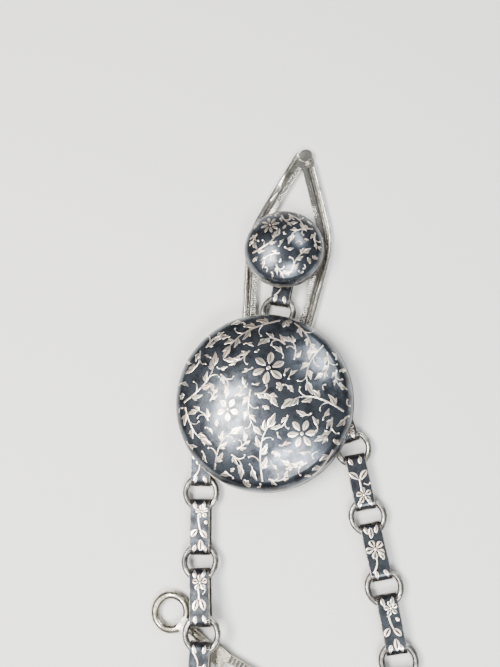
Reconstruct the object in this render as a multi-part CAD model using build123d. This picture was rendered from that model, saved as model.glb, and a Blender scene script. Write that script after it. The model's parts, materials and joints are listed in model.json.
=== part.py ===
from build123d import *
import os
from math import acos, asin, cos, radians, sin, sqrt

# A gentleman's niello silver watch chain, lying on a flat surface, in millimetres.
# A waist hook and a small medallion hang from a large domed medallion, and two strands
# of rings and strap links hang from its back. One strand ends in a swivel clasp.
# The layout is drawn about the foot of the large medallion's centre, +Y towards the
# hook, and the finished pieces are then moved so that the origin is the middle of the
# whole chain's footprint, on the surface it lies on.

os.makedirs("parts", exist_ok=True)

# ---- driving dimensions: chain ----
RING_DIAMETER = 5.9          # outside
RING_WIRE = 0.95
LINK_LENGTH = 8.6
LINK_WIDTH = 3.1
LINK_HEIGHT = 2.2            # strap loop, outside
STRAP = 0.4                  # thickness of the strap
RING_PLAY = 0.12             # slack between a ring and the bend it pulls against
EDGE_ROUND = 0.08
CLASP_RING_DIAMETER = 8.3
KEY_RING_DIAMETER = 12.0
KEY_RING_WIDTH = 1.1         # flat inner land of the key ring
KEY_RING_WALL = 1.0

# ---- driving dimensions: medallions ----
LARGE_DIAMETER = 28.3
LARGE_HEIGHT = LARGE_DIAMETER * 6.0 / 28.3
LARGE_CROWN_RADIUS = LARGE_DIAMETER * 30.0 / 28.3
LARGE_SHOULDER = 2.6
SMALL_DIAMETER = 13.1
SMALL_HEIGHT = SMALL_DIAMETER * 4.3 / 13.1
SMALL_CROWN_RADIUS = SMALL_DIAMETER * 9.0 / 13.1
SMALL_SHOULDER = 2.0
COVER_WALL = 0.5
BACK_PLATE = 0.4
RIM_LEDGE = 0.12              # how far a back plate stands proud of its cover
POST_DIAMETER = 1.3          # post of an eye behind a medallion
MEDALLION_GAP = 0.25         # air between a strap link and the plate above it

# ---- driving dimensions: waist hook ----
HOOK_LEAN = 7.9              # degrees the hook leans to the right
HOOK_SHIFT = -0.3            # the hook's foot beside the medallion's centre
HOOK_LENGTH = 44.1           # medallion centre to tip
HOOK_HALF_WIDTH = 5.95       # to the middle of an arm, at its widest
HOOK_BASE_HALF = 3.0
ARM_WIDTH = 2.3
ARM_HEIGHT = 1.2
BEAD_WIDTH = 1.05            # outer half-round band
GROOVE_WIDTH = 0.4
GROOVE_DEPTH = 0.45
LAP_LENGTH = 3.2             # where the beak covers the sprung arm
LAP_GAP = 0.1
RUN_CLEARANCE = 0.05
KNUCKLE_RADIUS = 2.1
RIVET_DIAMETER = 1.2
SPRING_THICKNESS = 0.3

# ---- driving dimensions: clasp ----
BOW_DIAMETER = 6.3
BOW_WIRE = 1.25
BOW_BORE = 3.92              # worn inner land of the bow
NECK_DIAMETER = 1.3
CLASP_BODY_WIDTH = 2.6
CLASP_BODY_HEIGHT = 1.4
CLASP_BODY_LENGTH = 3.0
CLASP_RIVET_AT = 9.7         # bow centre to gate rivet
HOOK_WIRE = 0.9
GATE_WIDTH = 1.3
GATE_HEIGHT = 0.8
LOOP_RADIUS = 5.0
LOOP_BEND = (14.5, -6.5)    # where the hook turns into its bowl, inside the clasp ring

# ---- layout: where the strands lie ----
LEFT_EYE = (-9.95, -3.85)
RIGHT_EYE = (10.35, 2.95)
LEFT_HEADINGS = [-89.4, -88.0, -84.5, -90.5]
LEFT_LIFTS = [0.0, 11.2, -10.2, -23.6]
RIGHT_HEADINGS = [-70.0, -77.5, -76.8, -79.0, -87.0, -98.0, -110.0, -120.0]
TOP_LINK_HEADING = 80.0
SMALL_TILT = 5.0
CLASP_HEADING = -37.0
CLASP_BOW_AT = (-13.87, -32.5)
CLASP_AXIS_HEIGHT = 0.7
CLASP_PITCH = 1.6
CLASP_ROLL = 6.8

# ---- derived sizes ----
MID_HEIGHT = LINK_HEIGHT / 2
GAP = LINK_HEIGHT - 2 * STRAP
PLATE_HEIGHT = LINK_HEIGHT + MEDALLION_GAP
INNER_END = LINK_LENGTH / 2 - STRAP

pieces = {}
hinges = {}
frames = {}


def wire_radius(diameter, wire=RING_WIRE):
    """Radius of a round ring's centre line."""
    return (diameter - wire) / 2


def bow_of(radius):
    """How far a ring's wire bows within the width of a strap link."""
    return radius - sqrt(radius**2 - (LINK_WIDTH / 2) ** 2)


def reach_of(radius):
    """Link centre to the nearest point of the ring wire held in its end."""
    return INNER_END - RING_PLAY - RING_WIRE / 2 - bow_of(RING_RADIUS)


def at(x, y=0.0, z=0.0):
    """A plain shift."""
    return Location((x, y, z))


def turned(x=0.0, y=0.0, z=0.0):
    """A plain rotation, in degrees."""
    return Location((0, 0, 0), (x, y, z))


RING_RADIUS = wire_radius(RING_DIAMETER)


# ---- chain pieces ----
def strap_link():
    """A flattened strap loop along X, its front on top."""
    outer = SlotOverall(LINK_LENGTH, LINK_HEIGHT)
    inner = SlotOverall(LINK_LENGTH - 2 * STRAP, GAP)
    loop = extrude(Plane.XZ * (outer - inner), LINK_WIDTH / 2, both=True)
    rims = loop.edges().filter_by(lambda e: abs(abs(e.center().Y) - LINK_WIDTH / 2) < 0.01)
    outside = rims.filter_by(
        lambda e: abs(e.center().Z) > GAP / 2 + 0.1 or abs(e.center().X) > INNER_END + 0.02
    )
    return fillet(outside, EDGE_ROUND)


def chain_ring(diameter):
    """A round wire ring about Z."""
    return Torus(wire_radius(diameter), RING_WIRE / 2).solid()


def key_ring():
    """A plain end ring with a flat inner land and a rounded outside."""
    outer = KEY_RING_DIAMETER / 2
    inner = outer - KEY_RING_WALL
    half = KEY_RING_WIDTH / 2
    edge = Polyline(
        (outer - KEY_RING_WALL / 2, 0, half), (inner, 0, half), (inner, 0, -half),
        (outer - KEY_RING_WALL / 2, 0, -half),
    )
    nose = ThreePointArc(edge @ 1, (outer, 0, 0), edge @ 0)
    return revolve(make_face([edge, nose]), Axis.Z).solid()


def put(name, solid, frame):
    """Place one solid and keep it under its name."""
    pieces[name] = frame * solid


def hinge(name, frame):
    """Keep a hinge whose axis is the frame's Z."""
    hinges[name] = frame


def add_link(name, eye, heading):
    """Hang a strap link on the ring or eye at a frame.

    The link slides round the ring: its hinge is the ring's own axis.
    """
    swung = eye * turned(z=heading)
    frame = swung * at(RING_RADIUS + reach_of(RING_RADIUS), 0)
    put(name, strap_link(), frame)
    hinge(name, swung)
    frames[name] = frame
    return frame


def add_ring(name, link, lift, solid, radius):
    """Hang a ring in the far end of a link; its hinge lies across the link."""
    half_bow = bow_of(radius) / 2
    pivot = link * at(reach_of(radius) + half_bow, 0) * turned(y=-lift)
    frame = pivot * at(radius - half_bow, 0)
    put(name, solid, frame)
    hinge(name, pivot * turned(x=90))
    frames[name] = frame
    return frame


def strand(side, eye_at, headings, lifts, last_ring, last_radius):
    """Links and rings in turn from an eye behind the large medallion."""
    eye = at(*eye_at, MID_HEIGHT)
    heading = 0.0
    for number, (new_heading, lift) in enumerate(zip(headings, lifts), start=1):
        link = add_link(f"{side}_link_{number}", eye, new_heading - heading)
        heading = new_heading
        if number < len(headings):
            ring = chain_ring(RING_DIAMETER)
            eye = add_ring(f"{side}_ring_{number}", link, lift, ring, RING_RADIUS)
        else:
            eye = add_ring(last_ring[0], link, lift, last_ring[1], last_radius)
    return eye


# ---- medallions ----
def dome(radius, base, top, crown, shoulder):
    """A solid bun: a straight side, a round shoulder and a crown that is part of a ball."""
    ball = top - crown
    ring_x = radius - shoulder
    ring_z = ball + sqrt((crown - shoulder) ** 2 - ring_x**2)
    lean = asin(ring_x / (crown - shoulder))
    meet = (crown * sin(lean), 0, ball + crown * cos(lean))
    half = acos(ring_x / (crown - shoulder)) / 2
    mid = (ring_x + shoulder * cos(half), 0, ring_z + shoulder * sin(half))
    low = max(ring_z, base)
    side = Polyline((0, 0, top), (0, 0, base), (radius, 0, base), (radius, 0, low))
    round_side = ThreePointArc((radius, 0, ring_z), mid, meet)
    crown_mid = (crown * sin(lean / 2), 0, ball + crown * cos(lean / 2))
    face = make_face([side, round_side, ThreePointArc(meet, crown_mid, (0, 0, top))])
    return revolve(face, Axis.Z).solid()


def cover(radius, height, crown, shoulder):
    """The domed shell of a medallion, standing on its back plate."""
    outside = dome(radius, BACK_PLATE, height, crown, shoulder)
    inside = dome(
        radius - COVER_WALL, BACK_PLATE - 1, height - COVER_WALL,
        crown - COVER_WALL, shoulder - COVER_WALL,
    )
    return (outside - inside).solid()


def plate(diameter):
    """The flat back of a medallion."""
    return extrude(Circle(diameter / 2), BACK_PLATE).solid()


def medallion(name, frame, diameter, height, crown, shoulder):
    """Cover and back plate of one medallion."""
    radius = diameter / 2 - RIM_LEDGE
    put(f"{name}_cover", cover(radius, height, crown, shoulder), frame)
    put(f"{name}_back_plate", plate(diameter), frame)


def posted_eye(inward, height):
    """A ring about Z with a round post up from its wire, on the side at an angle."""
    foot = turned(z=inward) * at(RING_RADIUS, 0, -RING_WIRE / 4)
    post = foot * extrude(Circle(POST_DIAMETER / 2), height + RING_WIRE / 4)
    return chain_ring(RING_DIAMETER) + post


# ---- waist hook, drawn along +Y about the medallion's centre ----
def arm_path():
    """Middle line of the right-hand arm, from the base to the tip."""
    low = ThreePointArc((HOOK_BASE_HALF, 0), (HOOK_HALF_WIDTH - 1.15, 14), (HOOK_HALF_WIDTH, 24.5))
    bend = TangentArc(low @ 1, (HOOK_HALF_WIDTH - 0.85, 31.0), tangent=low % 1)
    top = TangentArc(bend @ 1, (0.35, HOOK_LENGTH - ARM_WIDTH / 2), tangent=bend % 1)
    return Wire([low, bend, top])


def arm_section(path):
    """Half-round outer bead, groove and flat inner band."""
    floor = ARM_HEIGHT - GROOVE_DEPTH
    half = ARM_WIDTH / 2
    bead = half - BEAD_WIDTH
    land = bead - GROOVE_WIDTH
    line = Polyline(
        (half, floor), (half, 0), (-half, 0), (-half, ARM_HEIGHT - 0.12),
        (land, ARM_HEIGHT - 0.12), (land, floor), (bead, floor),
    )
    crown = ThreePointArc((bead, floor), (bead + BEAD_WIDTH / 2, ARM_HEIGHT), (half, floor))
    start = Plane(origin=path @ 0, x_dir=(1, 0, 0), z_dir=path % 0)
    outward = start.x_dir
    section = Plane(origin=path @ 0, x_dir=outward, z_dir=outward.cross(Vector(0, 0, 1)))
    return section * make_face([line, crown])


def hook_arm():
    """The plain right-hand arm."""
    path = arm_path()
    return sweep(arm_section(path), path=path).solid()


def lap_box(low, high):
    """The zone near the tip where the two arms lie one over the other."""
    centre = (0.3, HOOK_LENGTH - LAP_LENGTH / 2 + 1, (low + high) / 2)
    return at(*centre) * Box(3.4, LAP_LENGTH + 2, high - low)


def disc(x, y, radius, low, high):
    """A round boss between two heights."""
    return at(x, y, low) * extrude(Circle(radius), high - low)


def fixed_arm():
    """The left arm, its beak above the sprung arm and its foot under the base."""
    lap = ARM_HEIGHT / 2
    beak = disc(0.35, HOOK_LENGTH - ARM_WIDTH / 2, ARM_WIDTH / 2, lap, ARM_HEIGHT - 0.1)
    arm = mirror(hook_arm(), Plane.YZ) - lap_box(-1, lap)
    foot = at(-HOOK_BASE_HALF, 0, ARM_HEIGHT / 2) * Box(ARM_WIDTH, 7, ARM_HEIGHT)
    return (arm + beak + foot).solid()


def sprung_arm():
    """The right arm with its pivot knuckle and its thin end under the beak."""
    lap = ARM_HEIGHT / 2 - LAP_GAP
    arm = hook_arm() - lap_box(lap, ARM_HEIGHT + 1)
    knuckle = disc(HOOK_BASE_HALF, 0, KNUCKLE_RADIUS, RUN_CLEARANCE, ARM_HEIGHT - RUN_CLEARANCE)
    shaft = disc(HOOK_BASE_HALF, 0, RIVET_DIAMETER / 2 + RUN_CLEARANCE, -1, ARM_HEIGHT + 1)
    top_skim = disc(HOOK_BASE_HALF, 0, KNUCKLE_RADIUS, ARM_HEIGHT - RUN_CLEARANCE, ARM_HEIGHT + 1)
    return (arm + knuckle - shaft - top_skim).solid()


def spring_x():
    """Inner face of the hook spring, beside the knuckle."""
    return HOOK_BASE_HALF + KNUCKLE_RADIUS + 2 * RUN_CLEARANCE


def hook_base():
    """Block between the plate and the arms, with a lug for the spring."""
    middle = (ARM_HEIGHT + PLATE_HEIGHT) / 2
    block = at(0.5, -1.5, middle) * Box(11, 12, PLATE_HEIGHT - ARM_HEIGHT)
    lug = at(spring_x() - 0.1, -6.5, middle / 2 + 0.1) * Box(1.6, 2, middle - 0.2)
    rivet_hole = disc(HOOK_BASE_HALF, 0, RIVET_DIAMETER / 2, 0, PLATE_HEIGHT - 0.3)
    seat = hook_spring()
    return (block + lug - rivet_hole - seat).solid()


def hook_spring():
    """A flat spring that holds the sprung arm shut."""
    middle = spring_x() + SPRING_THICKNESS / 2
    return (at(middle, -3.2, ARM_HEIGHT / 2) * Box(SPRING_THICKNESS, 8, 0.9)).solid()


def hook_rivet():
    """Pivot of the sprung arm."""
    return disc(HOOK_BASE_HALF, 0, RIVET_DIAMETER / 2, 0, PLATE_HEIGHT - 0.3).solid()


def top_bail(ring_y):
    """A strap loop under the plate that holds the top ring's wire."""
    wire_y = ring_y - RING_RADIUS
    half = RING_WIRE / 2 + 0.35
    floor = MID_HEIGHT - RING_WIRE / 2 - 0.3
    length = 2 * (half + STRAP)
    outside = at(0, wire_y, (PLATE_HEIGHT + floor - STRAP) / 2) * Box(
        1.4, length, PLATE_HEIGHT - floor + STRAP)
    inside = at(0, wire_y, (PLATE_HEIGHT + floor) / 2 + 0.5) * Box(2, 2 * half, PLATE_HEIGHT - floor + 1)
    return outside, inside


# ---- swivel clasp, drawn along +X from the bow's centre ----
def clasp_bow():
    """Ring with a flat base block that turns on the neck stud."""
    radius = wire_radius(BOW_DIAMETER, BOW_WIRE)
    block = at(radius + 0.1, 0) * Box(1.2, 2.0, 1.3)
    bore = at(0, 0) * turned(y=90) * extrude(Circle(0.45), 8)
    head_room = turned(y=90) * extrude(Circle(0.67), radius - 0.2)
    land = disc(0, 0, BOW_BORE / 2, -1, 1)
    return (Torus(radius, BOW_WIRE / 2) + block - bore - head_room - land).solid()


def bow_block_end():
    """Outer face of the bow's base block."""
    return wire_radius(BOW_DIAMETER, BOW_WIRE) + 0.7


def clasp_stud():
    """Riveted head, thin shank through the bow and the neck behind it."""
    along = turned(y=90)
    radius = wire_radius(BOW_DIAMETER, BOW_WIRE)
    head = at(radius - 0.55) * along * extrude(Circle(0.62), 0.3)
    shank = at(radius - 0.3) * along * extrude(Circle(0.4), 2)
    neck_from = bow_block_end() + RUN_CLEARANCE
    neck_to = CLASP_RIVET_AT - CLASP_BODY_LENGTH / 2
    neck = at(neck_from) * along * extrude(Circle(NECK_DIAMETER / 2), neck_to - neck_from)
    return (head + shank + neck).solid()


def hook_loop():
    """Middle line of the clasp's fixed hook, from the body round to its tip."""
    shank = Line((CLASP_RIVET_AT + 0.9, -0.9), LOOP_BEND)
    inward = (shank % 1).rotate(Axis.Z, 90)
    far = Vector(*LOOP_BEND) + inward * LOOP_RADIUS + Vector(LOOP_RADIUS, 0)
    bowl = TangentArc(shank @ 1, far, tangent=shank % 1)
    nose = TangentArc(far, (CLASP_RIVET_AT + 11.1, 1.6), tangent=bowl % 1)
    return Wire([shank, bowl, nose])


def clasp_body():
    """Slotted block and fixed hook in one piece."""
    block = at(CLASP_RIVET_AT) * Box(CLASP_BODY_LENGTH, CLASP_BODY_WIDTH, CLASP_BODY_HEIGHT)
    path = hook_loop()
    section = Plane(origin=path @ 0, z_dir=path % 0) * Circle(HOOK_WIRE / 2)
    hook = sweep(section, path=path)
    slot_height = GATE_HEIGHT + 2 * RUN_CLEARANCE
    slot = at(CLASP_RIVET_AT + 1.2, 0.7) * Box(CLASP_BODY_LENGTH + 1.4, CLASP_BODY_WIDTH, slot_height)
    hole = disc(CLASP_RIVET_AT, 0.4, 0.45, -1, 1)
    return (block - slot - hole + hook).solid()


def clasp_gate():
    """Milled gate arm from the rivet to the hook's tip."""
    knuckle = disc(0, 0, 0.95, -GATE_HEIGHT / 2, GATE_HEIGHT / 2)
    bar = at(5.4, 0) * Box(9.6, GATE_WIDTH, GATE_HEIGHT)
    hole = disc(0, 0, 0.5, -1, 1)
    return (knuckle + bar - hole).solid()


# ---- build it ----
hook_frame = at(HOOK_SHIFT) * turned(z=-HOOK_LEAN)
medallion("large_medallion", at(0, 0, PLATE_HEIGHT), LARGE_DIAMETER, LARGE_HEIGHT,
          LARGE_CROWN_RADIUS, LARGE_SHOULDER)
post_height = PLATE_HEIGHT - MID_HEIGHT
put("left_strand_eye", posted_eye(20, post_height).solid(), at(*LEFT_EYE, MID_HEIGHT))
put("right_strand_eye", posted_eye(-165, post_height).solid(), at(*RIGHT_EYE, MID_HEIGHT))
put("hook_base", hook_base(), hook_frame)
put("hook_fixed_arm", fixed_arm(), hook_frame)
put("hook_rivet", hook_rivet(), hook_frame)
put("hook_spring", hook_spring(), hook_frame)
put("hook_sprung_arm", sprung_arm(), hook_frame)
hinge("hook_sprung_arm", hook_frame * at(HOOK_BASE_HALF, 0))

top_ring_y = LARGE_DIAMETER / 2 + 1.0
bail_outside, bail_inside = top_bail(top_ring_y)
put("top_bail", (bail_outside - bail_inside).solid(), hook_frame)
top_pivot = hook_frame * at(0, top_ring_y - RING_RADIUS, MID_HEIGHT)
top_ring = top_pivot * turned(z=90) * at(RING_RADIUS, 0)
put("top_ring", chain_ring(RING_DIAMETER), top_ring)
hinge("top_ring", top_pivot * turned(z=90) * turned(x=90))
top_link = add_link("top_link", top_ring, TOP_LINK_HEADING - 90 + HOOK_LEAN)

small_pivot = top_link * at(reach_of(RING_RADIUS) + bow_of(RING_RADIUS) / 2, 0)
small_eye = small_pivot * at(RING_RADIUS - bow_of(RING_RADIUS) / 2, 0)
small_lift = PLATE_HEIGHT + SMALL_DIAMETER / 2 * sin(radians(SMALL_TILT)) - MID_HEIGHT
small_frame = (small_eye * turned(z=-TOP_LINK_HEADING) * at(-0.8, -0.3, small_lift)
               * turned(z=-45) * turned(x=-SMALL_TILT) * turned(z=45))
medallion("small_medallion", small_frame, SMALL_DIAMETER, SMALL_HEIGHT,
          SMALL_CROWN_RADIUS, SMALL_SHOULDER)
above_plate = small_eye.inverse() * small_frame * at(0, 0, 5) * Box(40, 40, 10)
put("small_medallion_eye", (posted_eye(10, 2 * small_lift) - above_plate).solid(), small_eye)
hinge("small_medallion", small_pivot * turned(x=90))

CLASP_RING_RADIUS = wire_radius(CLASP_RING_DIAMETER)
KEY_RING_RADIUS = (KEY_RING_DIAMETER - KEY_RING_WALL) / 2
strand("left", LEFT_EYE, LEFT_HEADINGS, LEFT_LIFTS,
       ("clasp_ring", chain_ring(CLASP_RING_DIAMETER)), CLASP_RING_RADIUS)
strand("right", RIGHT_EYE, RIGHT_HEADINGS, [0.0] * len(RIGHT_HEADINGS),
       ("key_ring", key_ring()), KEY_RING_RADIUS)

clasp_flat = at(*CLASP_BOW_AT, CLASP_AXIS_HEIGHT) * turned(z=CLASP_HEADING) * turned(y=-CLASP_PITCH)
clasp_frame = clasp_flat * turned(x=-CLASP_ROLL)
gate_frame = clasp_frame * at(CLASP_RIVET_AT, 0.4) * turned(z=11)
put("clasp_bow", clasp_bow(), clasp_flat)
put("clasp_neck_stud", clasp_stud(), clasp_frame)
put("clasp_body", clasp_body(), clasp_frame)
put("clasp_gate", clasp_gate(), gate_frame)
put("clasp_gate_rivet", disc(CLASP_RIVET_AT, 0.4, 0.45, -0.7, 0.7).solid(), clasp_frame)
hinge("clasp_bow", clasp_flat * turned(y=90))
hinge("clasp_gate", gate_frame)

whole = Compound(children=[Compound([solid]) for solid in pieces.values()]).bounding_box()
middle = (whole.min + whole.max) / 2
shift = at(-middle.X, -middle.Y, -whole.min.Z)

for name, solid in pieces.items():
    export_step(shift * solid, f"parts/{name}.step")
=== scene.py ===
"""A gentleman's niello silver watch chain laid out on a plain pale surface.

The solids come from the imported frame. This script adds what they lack: the niello
fields, the silver scrollwork laid into them, the milling on the hook and the clasp,
every finish, the light and the camera.
"""

from __future__ import annotations

import json
import logging
import math
import random
from dataclasses import dataclass, field
from enum import Enum, IntEnum

import bpy
import numpy as np
from mathutils import Matrix, Vector
from mathutils.bvhtree import BVHTree

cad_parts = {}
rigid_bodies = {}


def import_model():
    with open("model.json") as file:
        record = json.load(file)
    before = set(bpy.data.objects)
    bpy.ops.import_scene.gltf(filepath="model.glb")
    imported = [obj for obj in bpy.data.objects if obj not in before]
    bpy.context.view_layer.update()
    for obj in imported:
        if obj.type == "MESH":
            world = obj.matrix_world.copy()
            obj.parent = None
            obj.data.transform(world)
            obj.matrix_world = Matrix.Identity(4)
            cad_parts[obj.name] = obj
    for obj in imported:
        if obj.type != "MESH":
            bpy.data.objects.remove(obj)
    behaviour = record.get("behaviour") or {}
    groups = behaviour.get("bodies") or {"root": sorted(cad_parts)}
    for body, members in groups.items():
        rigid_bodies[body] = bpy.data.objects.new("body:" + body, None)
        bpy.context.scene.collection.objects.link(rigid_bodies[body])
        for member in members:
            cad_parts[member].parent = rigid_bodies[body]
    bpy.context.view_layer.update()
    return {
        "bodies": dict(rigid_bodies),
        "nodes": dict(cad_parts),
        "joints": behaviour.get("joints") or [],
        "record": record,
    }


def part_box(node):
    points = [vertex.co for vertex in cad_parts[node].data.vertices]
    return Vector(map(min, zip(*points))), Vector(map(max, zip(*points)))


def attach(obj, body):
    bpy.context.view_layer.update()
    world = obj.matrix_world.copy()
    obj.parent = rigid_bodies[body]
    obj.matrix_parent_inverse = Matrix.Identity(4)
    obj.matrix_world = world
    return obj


LOG = logging.getLogger("watch_chain")
MM = 0.001

# The chain's own sizes, in millimetres and degrees.
LARGE_RADIUS = 14.0
SMALL_RADIUS = 6.4
SMALL_TILT = 5.0
HOOK_LEAN = 7.9
HOOK_SHIFT = -0.3
HOOK_SPAN = 44.1
GATE_HEADING = -26.0
LINK_REACH = 4.05

# The inlaid ornament, in millimetres.
SEAM_LIFT = 0.006
LEAF_HEIGHT = 0.028
STEM_HEIGHT = 0.026
PANEL_HEIGHT = 0.014
PANEL_HALF = 1.45
BEAD_HEIGHT = 0.045
BEAD_SHOULDER = 0.038
BEAD_SIDES = 10
THINNEST = 0.035
STEM_STEP = 0.35
RIM_MARGIN = 0.35
SPRIG_GAP = 0.26
FILL_GAP = 0.42
LINK_LIMIT = 9.0

# Metres above a piece from which its skin is looked for, and the floor's clearance.
LOOK_FROM = 0.03
FLOOR_DROP = 0.00002

# Shares and depths in the metals' shaders.
CLOUD_START = 0.78
CLOUD_SOFTNESS = 0.34
HAIR_TURN = 0.7
HAIR_STRETCH = (9.0, 0.7, 1.0)
COAT_ROUGHNESS = 0.12
WORN_GAIN = 1.12
GRAIN_DEPTH = 0.00004

Colour = tuple[float, float, float]
Point = tuple[float, float]


class Coat(Enum):
    """How a finish is topped."""

    BARE = 0.0
    WAXED = 0.35


class Layer(IntEnum):
    """What a face of the ornament shows."""

    SILVER = 0
    ENGRAVED = 1


@dataclass(frozen=True)
class Finish:
    """One metal finish, from clean high spots to tarnished hollows.

    Attributes:
        name: Material name.
        clean: Colour of the polished metal.
        dull: Colour where it has tarnished.
        roughness: Lowest and highest roughness.
        metallic: Metallic share.
        tarnish: How much of the surface has tarnished, 0 to 1.
        grain: Depth of the fine surface grain.
        scale: Patches per metre.
        wear: Extra brightness of the edges.
        coat: Clear layer on top.
    """

    name: str
    clean: Colour
    dull: Colour
    roughness: tuple[float, float] = (0.22, 0.42)
    metallic: float = 1.0
    tarnish: float = 0.4
    grain: float = 0.15
    scale: float = 900.0
    wear: float = 0.5
    coat: Coat = Coat.BARE


NIELLO = Finish("Niello", (0.085, 0.098, 0.115), (0.014, 0.016, 0.02), (0.24, 0.36), 0.88,
                0.46, 0.05, 420.0, 0.0, Coat.WAXED)
STRAP_NIELLO = Finish("StrapNiello", (0.045, 0.053, 0.063), (0.008, 0.01, 0.013), (0.24, 0.4),
                      0.75, 0.5, 0.06, 800.0, 0.0)
ORNAMENT = Finish("ScrollSilver", (0.9, 0.81, 0.68), (0.58, 0.42, 0.33), (0.28, 0.46), 1.0,
                  0.4, 0.12, 450.0, 0.0)
ENGRAVED = Finish("EngravedLine", (0.07, 0.065, 0.06), (0.02, 0.02, 0.02), (0.4, 0.6), 0.8,
                  0.5, 0.1, 900.0, 0.0)
STRAP_SILVER = Finish("StrapSilver", (0.5, 0.47, 0.41), (0.06, 0.052, 0.046), (0.2, 0.42),
                      1.0, 0.55, 0.2, 700.0, 0.8)
RING_SILVER = Finish("RingSilver", (0.44, 0.43, 0.385), (0.09, 0.086, 0.08), (0.2, 0.4), 1.0,
                     0.5, 0.3, 800.0, 0.5)
HOOK_SILVER = Finish("HookSilver", (0.66, 0.635, 0.56), (0.26, 0.245, 0.205), (0.22, 0.4), 1.0,
                     0.38, 0.2, 650.0, 0.8)
# Near-black painted shade, laid in the hook's groove and on the land under the hook's and the
# clasp gate's ribs.
PAINTED_RECESS_SHADE = Finish("PaintedRecessShade", (0.06, 0.056, 0.048), (0.02, 0.019, 0.016), (0.45, 0.6), 0.4,
                     0.5, 0.3, 900.0, 0.0)
MILLED_SILVER = Finish("MilledSilver", (0.95, 0.92, 0.84), (0.7, 0.66, 0.58), (0.2, 0.34), 1.0,
                       0.3, 0.1, 500.0, 0.0)
CLASP_SILVER = Finish("ClaspSilver", (0.52, 0.49, 0.4), (0.11, 0.1, 0.08), (0.2, 0.42),
                      1.0, 0.48, 0.26, 650.0, 0.8)
PLATE_SILVER = Finish("PlateSilver", (0.34, 0.31, 0.275), (0.08, 0.068, 0.06), (0.24, 0.44), 1.0,
                      0.5, 0.15, 300.0, 0.6)


class NodeTree:
    """Small helper for wiring shader nodes."""

    def __init__(self, tree: bpy.types.NodeTree) -> None:
        """Keeps the tree that nodes go in."""
        self.tree = tree

    def add(self, kind: str, **values: object) -> bpy.types.Node:
        """Adds one node.

        Args:
            kind: Node type name.
            **values: Attributes of the node, or input sockets by name.

        Returns:
            The new node.
        """
        node = self.tree.nodes.new(kind)
        for key, value in values.items():
            if hasattr(node, key):
                setattr(node, key, value)
            else:
                node.inputs[key.replace("_", " ")].default_value = value
        return node

    def link(self, source: bpy.types.NodeSocket, target: bpy.types.NodeSocket) -> None:
        """Links an output to an input."""
        self.tree.links.new(source, target)


class EffectGroups:
    """The shader effects that every metal shares."""

    def __init__(self) -> None:
        """Builds the groups once."""
        self.painted_shade = self._patina()
        self.edges = self._edges()

    @staticmethod
    def _patina() -> bpy.types.NodeTree:
        """Cloudy tarnish, fine grain and hairline scratches.

        Returns:
            The group, with a Tarnish mask and a Grain height.
        """
        group = bpy.data.node_groups.new("Patina", "ShaderNodeTree")
        face = group.interface
        for name, value in (("Scale", 600.0), ("Amount", 0.4)):
            socket = face.new_socket(name=name, in_out="INPUT", socket_type="NodeSocketFloat")
            socket.default_value = value
        for name in ("Tarnish", "Grain"):
            face.new_socket(name=name, in_out="OUTPUT", socket_type="NodeSocketFloat")
        kit = NodeTree(group)
        inputs = kit.add("NodeGroupInput")
        outputs = kit.add("NodeGroupOutput")
        place = kit.add("ShaderNodeTexCoord")
        cloud = kit.add("ShaderNodeTexNoise", Detail=6.0, Roughness=0.62)
        kit.link(place.outputs["Object"], cloud.inputs["Vector"])
        kit.link(inputs.outputs["Scale"], cloud.inputs["Scale"])
        spread = kit.add("ShaderNodeMapRange", interpolation_type="SMOOTHSTEP")
        low = kit.add("ShaderNodeMath", operation="SUBTRACT")
        low.inputs[0].default_value = CLOUD_START
        kit.link(inputs.outputs["Amount"], low.inputs[1])
        high = kit.add("ShaderNodeMath", operation="ADD")
        high.inputs[1].default_value = CLOUD_SOFTNESS
        kit.link(low.outputs[0], high.inputs[0])
        kit.link(cloud.outputs["Fac"], spread.inputs["Value"])
        kit.link(low.outputs[0], spread.inputs["From Min"])
        kit.link(high.outputs[0], spread.inputs["From Max"])
        stretch = kit.add("ShaderNodeMapping")
        stretch.inputs["Rotation"].default_value = (0.0, 0.0, HAIR_TURN)
        stretch.inputs["Scale"].default_value = HAIR_STRETCH
        kit.link(place.outputs["Object"], stretch.inputs["Vector"])
        hair = kit.add("ShaderNodeTexNoise", Scale=1600.0, Detail=3.0)
        kit.link(stretch.outputs["Vector"], hair.inputs["Vector"])
        fine = kit.add("ShaderNodeTexNoise", Scale=5200.0, Detail=4.0)
        kit.link(place.outputs["Object"], fine.inputs["Vector"])
        both = kit.add("ShaderNodeMath", operation="ADD")
        kit.link(hair.outputs["Fac"], both.inputs[0])
        kit.link(fine.outputs["Fac"], both.inputs[1])
        kit.link(spread.outputs["Result"], outputs.inputs["Tarnish"])
        kit.link(both.outputs[0], outputs.inputs["Grain"])
        return group

    @staticmethod
    def _edges() -> bpy.types.NodeTree:
        """Mask of the outer edges, where handling keeps the metal bright.

        Returns:
            The group, with a Mask that is 1 on an edge.
        """
        group = bpy.data.node_groups.new("EdgeWear", "ShaderNodeTree")
        face = group.interface
        socket = face.new_socket(name="Reach", in_out="INPUT", socket_type="NodeSocketFloat")
        socket.default_value = 0.00012
        face.new_socket(name="Mask", in_out="OUTPUT", socket_type="NodeSocketFloat")
        kit = NodeTree(group)
        inputs = kit.add("NodeGroupInput")
        outputs = kit.add("NodeGroupOutput")
        bevel = kit.add("ShaderNodeBevel", samples=4)
        kit.link(inputs.outputs["Reach"], bevel.inputs["Radius"])
        plain = kit.add("ShaderNodeNewGeometry")
        same = kit.add("ShaderNodeVectorMath", operation="DOT_PRODUCT")
        kit.link(bevel.outputs["Normal"], same.inputs[0])
        kit.link(plain.outputs["Normal"], same.inputs[1])
        spread = kit.add("ShaderNodeMapRange")
        spread.inputs["From Min"].default_value = 0.995
        spread.inputs["From Max"].default_value = 0.9
        kit.link(same.outputs["Value"], spread.inputs["Value"])
        kit.link(spread.outputs["Result"], outputs.inputs["Mask"])
        return group


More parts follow.
